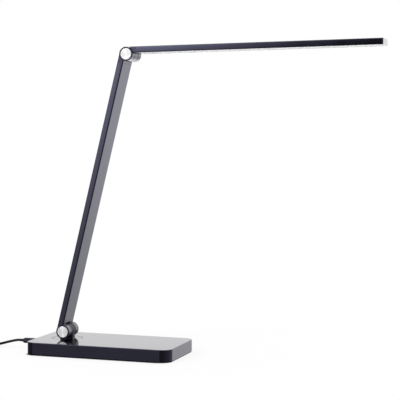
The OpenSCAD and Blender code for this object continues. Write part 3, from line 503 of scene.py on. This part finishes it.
def mesh_object(name, mesh):
    """An object in the scene from a bmesh, which is freed."""
    bmesh.ops.recalc_face_normals(mesh, faces=mesh.faces)
    data = bpy.data.meshes.new(name)
    mesh.to_mesh(data)
    mesh.free()
    made = bpy.data.objects.new(name, data)
    scene.collection.objects.link(made)
    return made


def round_edges(made, name, width):
    """A bevel of so many millimetres on the sharp edges."""
    rounded = made.modifiers.new(name, "BEVEL")
    rounded.width = width * MM
    rounded.segments = 2
    rounded.limit_method = "ANGLE"


def turned(name, start, along, profile, sides=32):
    """A turned piece: a closed profile of (distance along the axis, radius) in millimetres."""
    along = Vector(along).normalized()
    across = along.orthogonal().normalized()
    other = along.cross(across)
    mesh = bmesh.new()
    rings = []
    spokes = [across * math.cos(a) + other * math.sin(a)
              for a in (2 * math.pi * i / sides for i in range(sides))]
    for distance, radius in profile:
        centre = Vector(start) + along * distance
        rings.append([mesh.verts.new((centre + spoke * radius) * MM) for spoke in spokes])
    for ring, following in zip(rings, rings[1:] + rings[:1]):
        for i in range(sides):
            j = (i + 1) % sides
            mesh.faces.new((ring[i], ring[j], following[j], following[i])).smooth = True
    return mesh_object(name, mesh)


def band(name, lines, steady, tall, wide):
    """Flat strips along lines of (points, closed) in millimetres: tall along one steady direction."""
    steady = Vector(steady)
    mesh = bmesh.new()
    for points, closed in lines:
        points = [Vector(p) for p in points]
        last = len(points) - 1
        rings = []
        for i, p in enumerate(points):
            before = points[i - 1] if closed or i else p
            after = points[(i + 1) % len(points)] if closed or i < last else p
            across = (after - before).cross(steady).normalized() * wide / 2
            rings.append([mesh.verts.new((p + across * a + steady * tall / 2 * b) * MM)
                          for a, b in ((-1, -1), (1, -1), (1, 1), (-1, 1))])
        if not closed:
            mesh.faces.new(rings[0])
            mesh.faces.new(rings[-1])
        for ring, following in zip(rings, rings[1:] + (rings[:1] if closed else [])):
            for i in range(4):
                j = (i + 1) % 4
                mesh.faces.new((ring[i], ring[j], following[j], following[i]))
    return mesh_object(name, mesh)


RIB_DEPTH = 0.35
RIB_EDGE = 0.06
# where in a rib's pitch its waist starts and ends, and how deep it is there
RIB_LINE = ((0.42, 0), (0.58, RIB_DEPTH), (0.92, RIB_DEPTH), (1.0, 0))
RELIEF_GRIP = 0.2


def relief(name, start, along, length, root, tip, ribs, stands_for):
    """A moulded strain relief: ribs that taper from the plug's body to the lead."""
    bore = CORD_D / MM / 2 - RELIEF_GRIP
    pitch = length / ribs
    profile = [(0, bore), (0, root)]
    for i in range(ribs):
        for part, depth in RIB_LINE:
            at = (i + part) * pitch
            share = 1 - at / length
            profile.append((at, tip + (root - tip) * share ** 1.6 - depth * (0.35 + 0.65 * share)))
    profile.append((length, bore))
    made = turned(name, start, along, profile)
    made.data.materials.append(MOULD)
    round_edges(made, "soft_ribs", RIB_EDGE)
    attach(made, "base")
    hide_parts(stands_for)
    return made


relief("plug_relief_ribs", (-124.8, 0, 10), (-1, 0, 0), 8.2, 2.15, 1.8, 5, "plug_relief")
end_ribs = relief("end_plug_relief_ribs", (-211.6, -60, 4), (0, 1, 0), 9, 3.0, 1.8, 5,
                  "end_plug_relief")

lead = tube("lead_cord", smooth_route(run) + [Vector(p) for p in coil] + smooth_route(tail), CORD_D)
lead.data.materials.append(CORD)
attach(lead, "base")
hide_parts("cord_run", "cord_coil", "cord_tail")

# ---------------------------------------------------------------- tie
TIE_X = COIL_CENTRE[0] + COIL_MIDDLE
TIE_HALF = 1.5 * COIL_STEP
TIE_THICK = 0.9
TIE_WIDE = 7
TIE_CORNER = 1.6
TIE_EDGE = 0.2
TIE_FROM, TIE_TO = -2.6, 4.6


def tie_line(top_from, top_to):
    """The strap's line: from the top of the coil, round its section, and back over its own start."""
    low, high = TIE_THICK / 2, 4 * COIL_STEP + TIE_THICK / 2
    wide = TIE_HALF + TIE_THICK / 2
    corners = [(wide, high), (wide, low), (-wide, low), (-wide, high)]
    signs = [(1, 1), (1, -1), (-1, -1), (-1, 1)]
    found = [(top_from, high)]
    for (x, z), (sx, sz), start in zip(corners, signs, (90, 0, -90, -180)):
        for step_angle in range(0, 91, 15):
            a = math.radians(start - step_angle)
            found.append((x - sx * TIE_CORNER + TIE_CORNER * math.cos(a),
                          z - sz * TIE_CORNER + TIE_CORNER * math.sin(a)))
    lift = TIE_THICK * 1.05
    found += [(-wide + 2.2, high + 0.1 * lift), (-wide + 3.6, high + 0.8 * lift),
              (-wide + 4.8, high + lift)]
    found += [(top_to - 2.5, high + lift), (top_to, high + lift * 1.5)]
    return [(TIE_X + x, COIL_CENTRE[1], z) for x, z in found]


tie = band("cord_tie_strap", [(tie_line(TIE_FROM, TIE_TO), False)], (0, 1, 0), TIE_WIDE, TIE_THICK)
tie.data.materials.append(STRAP)
round_edges(tie, "soft_edges", TIE_EDGE)
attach(tie, "base")
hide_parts("cord_tie")

# ---------------------------------------------------------------- touch marks
MARK_X, MARK_STEP = 68, 13
MARK_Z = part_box("base_shell")[1][2] / MM
MARK_TALL, MARK_WIDE = 0.06, 0.42
ARC_STEPS = 28
RAY_FROM, RAY_TO = 1.7, 2.4
POWER_RADIUS = 3.2
DIM_RADIUS, BRIGHT_RADIUS = 1.1, 1.7


def arc(x, y, radius, start, end, steps=ARC_STEPS):
    """Points on a circle on the base's top; 0 degrees looks towards the arm."""
    turns = [math.radians(start + (end - start) * i / steps) for i in range(steps + 1)]
    return [(x - radius * math.cos(a), y - radius * math.sin(a), MARK_Z) for a in turns]


def sun(y, radius, rays):
    """A brightness mark: a circle with short rays, whose ends are in radii from its middle."""
    lines = [(arc(MARK_X, y, radius, 0, 360 - 360 / ARC_STEPS, ARC_STEPS - 1), True)]
    for i in range(rays):
        a = 2 * math.pi * i / rays
        lines.append(([(MARK_X + r * math.cos(a), y + r * math.sin(a), MARK_Z)
                       for r in (radius * RAY_FROM, radius * RAY_TO)], False))
    return lines


power = [(arc(MARK_X, 0, POWER_RADIUS, 40, 320), False),
         ([(MARK_X - 4.2, 0, MARK_Z), (MARK_X - 0.6, 0, MARK_Z)], False)]
suns = sun(-MARK_STEP, DIM_RADIUS, 8) + sun(MARK_STEP, BRIGHT_RADIUS, 8)
marks = band("touch_marks", power + suns, (0, 0, 1), MARK_TALL, MARK_WIDE)
marks.data.materials.append(MARKS)
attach(marks, "base")

# ---------------------------------------------------------------- floor and light
FLOOR_HALF = 6
FLOOR_DROP = 0.0002
corners = [(x * FLOOR_HALF, y * FLOOR_HALF, 0) for x, y in ((-1, -1), (1, -1), (1, 1), (-1, 1))]
floor_data = bpy.data.meshes.new("floor")
floor_data.from_pydata(corners, [], [(0, 1, 2, 3)])
floor = bpy.data.objects.new("floor", floor_data)
floor.location.z = -FLOOR_DROP
floor.visible_glossy = False
scene.collection.objects.link(floor)

# the paper's colour, and the dark grey of the painted shadow along the pad
PAPER, PAINTED_SHADOW_GREY = (0.88, 0.88, 0.88, 1), (0.1, 0.1, 0.1, 1)
# near the lamp the paper is this share pure white, and from one distance to the other it gets all white
WHITE_NEAR, WHITE_FROM, WHITE_TO = 0.84, 0.15, 0.5
# the radius of the pad's corners, the width of the painted shadow along the pad, and where it fades
# out along the base
PAD_CORNER = 0.0121
PAINTED_SHADOW_WIDTH = 0.005
PAINTED_SHADOW_FADE = (0.078, 0.098)


def vector_maths(tree_nodes, links, operation, value, other=None):
    """An operation on a vector, and on a second one where that is given as numbers."""
    made = node(tree_nodes, "ShaderNodeVectorMath", operation=operation)
    links.new(value, made.inputs[0])
    if other:
        made.inputs[1].default_value = other
    return made.outputs["Value" if operation == "LENGTH" else "Vector"]


def floor_material():
    """White paper: pure white far off, close to the lamp it takes the lamp's shadow, and along the pad it
    carries a painted shadow.
    """
    m, n, k, p = material("floor_white")
    tree = m.node_tree
    p.inputs["Roughness"].default_value = 0.9
    p.inputs["Specular IOR Level"].default_value = 0.0
    glow = node(n, "ShaderNodeEmission")
    glow.inputs["Strength"].default_value = 1.0
    where = node(n, "ShaderNodeTexCoord").outputs["Object"]
    far = vector_maths(n, k, "LENGTH", where)
    white = step(tree, far, WHITE_FROM, WHITE_TO, WHITE_NEAR, 1.0)
    # distance from the outline of the pad, which has round corners; close to it the paper gets a painted
    # shadow
    low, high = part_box("rubber_pad")
    corner = [(high[axis] - low[axis]) / 2 - PAD_CORNER for axis in (0, 1)]
    past = vector_maths(n, k, "SUBTRACT", vector_maths(n, k, "ABSOLUTE", where), (*corner, 1))
    away = vector_maths(n, k, "LENGTH", vector_maths(n, k, "MAXIMUM", past))
    near = step(tree, away, PAD_CORNER, PAD_CORNER + PAINTED_SHADOW_WIDTH, 1.0, 0.0)
    # the painted shadow fades out at the end towards the light
    along = node(n, "ShaderNodeSeparateXYZ")
    k.new(where, along.inputs[0])
    near = product(tree, near, step(tree, along.outputs["X"], *PAINTED_SHADOW_FADE, 1.0, 0.0))
    # painted shadow: along the pad the paper's colour turns to the dark grey
    shade = node(n, "ShaderNodeMix", data_type="RGBA")
    k.new(near, shade.inputs["Factor"])
    shade.inputs["A"].default_value = PAPER
    shade.inputs["B"].default_value = PAINTED_SHADOW_GREY
    k.new(shade.outputs["Result"], p.inputs["Base Color"])
    seen = node(n, "ShaderNodeLightPath").outputs["Is Camera Ray"]
    both = node(n, "ShaderNodeMixShader")
    # where the painted shadow is, the paper does not glow white to the camera, so the painted dark shows
    k.new(product(tree, seen, white, maths(tree, "SUBTRACT", 1, near)), both.inputs[0])
    k.new(p.outputs[0], both.inputs[1])
    k.new(glow.outputs[0], both.inputs[2])
    k.new(both.outputs[0], n["Material Output"].inputs[0])
    return m


floor_data.materials.append(floor_material())


# What gloss reflects, by direction: x, y and z of the direction, or degrees from straight ahead of the
# lamp towards its left (-180 and 180 are straight behind it). A pair of numbers is where a change
# starts and ends, and a third number, or a name next to it, is the strength that it goes to.
DARK = 0.005
AMBIENT = 0.9
ROOM = 0.66
ROOM_SIDE = (-15, -125)
# the white sweep behind the lamp
SWEEP = 1.45
SWEEP_LEFT = (117, 136)
SWEEP_RIGHT = (-159, -138)
SWEEP_TOP = (0.6, 0.95)
SWEEP_ASIDE = (0.05, 0.2)
SWEEP_LOW = (-0.36, -0.12, 0.6)
SWEEP_LEVEL = (-0.1, 0.0)
SWEEP_HIGH = 1.35
PATCH_SIDE, PATCH_LOW = (0.16, 0.26, 0.5), (-0.3, -0.2)
UNDER = (-0.56, -0.44, 0.25)
CORNER_SIDE, CORNER_HIGH, CORNER_LOSS = (-0.18, -0.06), (0.24, 0.38), 0.6
# the soft box at the front left
BOX = 1.95
BOX_SIDE = (10.3, 19.7)
BOX_END = (32, 48)
BOX_PAST = 0.1
BOX_CLIMB = (-0.2, 0.3)
BOX_LOW = 0.18
BOX_HIGH = 1.98
BOX_FOOT = (-0.165, -0.157)
BOX_TABLE = 1.76
BOX_UPPER, BOX_UPPER_GAIN = (0.3, 0.45), 1.3
BOX_TOP, BOX_TOP_LEFT = (0.55, 0.85), 0.2


def studio():
    """White background; what gloss reflects is a white sweep behind and below the lamp, a soft box
    at the front left, and a dark room elsewhere; diffuse light is an even grey."""
    world = bpy.data.worlds.new("studio")
    world.use_nodes = True
    tree = world.node_tree
    tree.nodes.clear()
    n = tree.nodes
    way = node(n, "ShaderNodeTexCoord")
    split = node(n, "ShaderNodeSeparateXYZ")
    tree.links.new(way.outputs["Generated"], split.inputs[0])
    x, y, z = split.outputs
    turn_left = maths(tree, "ARCTAN2", product(tree, x, -1), product(tree, y, -1))
    left = product(tree, turn_left, math.degrees(1))
    behind = maths(tree, "ADD", step(tree, left, *SWEEP_LEFT, 0.0, 1.0),
                   step(tree, left, *SWEEP_RIGHT, 1.0, 0.0))
    sweep = product(tree, behind, step(tree, z, *SWEEP_TOP, SWEEP, SWEEP / 2))
    # to the right it is dimmer below level and brighter above
    aside = step(tree, x, *SWEEP_ASIDE, 0.0, 1.0)
    dim = product(tree, step(tree, z, *SWEEP_LOW, 1.0), step(tree, z, *SWEEP_LEVEL, 1.0, SWEEP_HIGH))
    dim = product(tree, aside, maths(tree, "SUBTRACT", dim, 1))
    # straight behind and low it is brightest, and under the lamp it is dark
    patch = product(tree, step(tree, x, *PATCH_SIDE, 0.0), step(tree, z, *PATCH_LOW, 1.0, 0.0))
    under = step(tree, z, *UNDER, 1.0)
    corner = product(tree, step(tree, x, *CORNER_SIDE, 1.0, 0.0), step(tree, z, *CORNER_HIGH, 0.0, 1.0),
                     CORNER_LOSS)
    sweep = product(tree, sweep, maths(tree, "ADD", dim, 1), maths(tree, "ADD", patch, 1), under,
                    maths(tree, "SUBTRACT", 1, corner))
    room = straight(tree, left, *ROOM_SIDE, 0, ROOM)
    rise = product(tree, maths(tree, "POWER", straight(tree, left, *BOX_SIDE, 0, 1), 2), BOX)
    box = product(tree, rise, step(tree, left, *BOX_END, 1.0, BOX_PAST),
                  step(tree, z, *BOX_CLIMB, BOX_LOW, BOX_HIGH), step(tree, z, *BOX_FOOT, BOX_TABLE, 1.0),
                  step(tree, z, *BOX_UPPER, 1.0, BOX_UPPER_GAIN),
                  step(tree, z, *BOX_TOP, 1.0, BOX_TOP_LEFT))
    gloss = maths(tree, "MAXIMUM", maths(tree, "MAXIMUM", sweep, room), maths(tree, "MAXIMUM", box, DARK))
    path = node(n, "ShaderNodeLightPath")
    light = node(n, "ShaderNodeMix", data_type="FLOAT")
    tree.links.new(path.outputs["Is Diffuse Ray"], light.inputs["Factor"])
    tree.links.new(gloss, light.inputs["A"])
    light.inputs["B"].default_value = AMBIENT
    seen = node(n, "ShaderNodeMix", data_type="FLOAT")
    tree.links.new(path.outputs["Is Camera Ray"], seen.inputs["Factor"])
    tree.links.new(light.outputs["Result"], seen.inputs["A"])
    seen.inputs["B"].default_value = 1.0
    sky = node(n, "ShaderNodeBackground")
    sky.inputs["Color"].default_value = (1, 1, 1, 1)
    tree.links.new(seen.outputs["Result"], sky.inputs["Strength"])
    tree.links.new(sky.outputs[0], node(n, "ShaderNodeOutputWorld").inputs[0])
    return world


scene.world = studio()


def soft_light(name, place, aim, size, power, colour=(1, 1, 1)):
    """A soft box that gloss doesn't see, because the studio already shows it one."""
    data = bpy.data.lights.new(name, "AREA")
    data.shape = "RECTANGLE"
    data.size, data.size_y = size
    data.energy = power
    data.color = colour
    made = bpy.data.objects.new(name, data)
    made.visible_glossy = False
    place, aim = Vector(place), Vector(aim)
    facing = (aim - place).to_track_quat("-Z", "Y").to_matrix().to_4x4()
    made.matrix_world = Matrix.Translation(place) @ facing
    scene.collection.objects.link(made)


soft_light("key", (-1.2, -1.6, 1.5), (0, 0, 0.2), (0.9, 0.8), 10, (0.95, 0.97, 1.0))
soft_light("top", (0.2, 0.3, 2.4), (0.1, 0, 0), (2.2, 1.6), 5)

scene.view_settings.view_transform = "Standard"
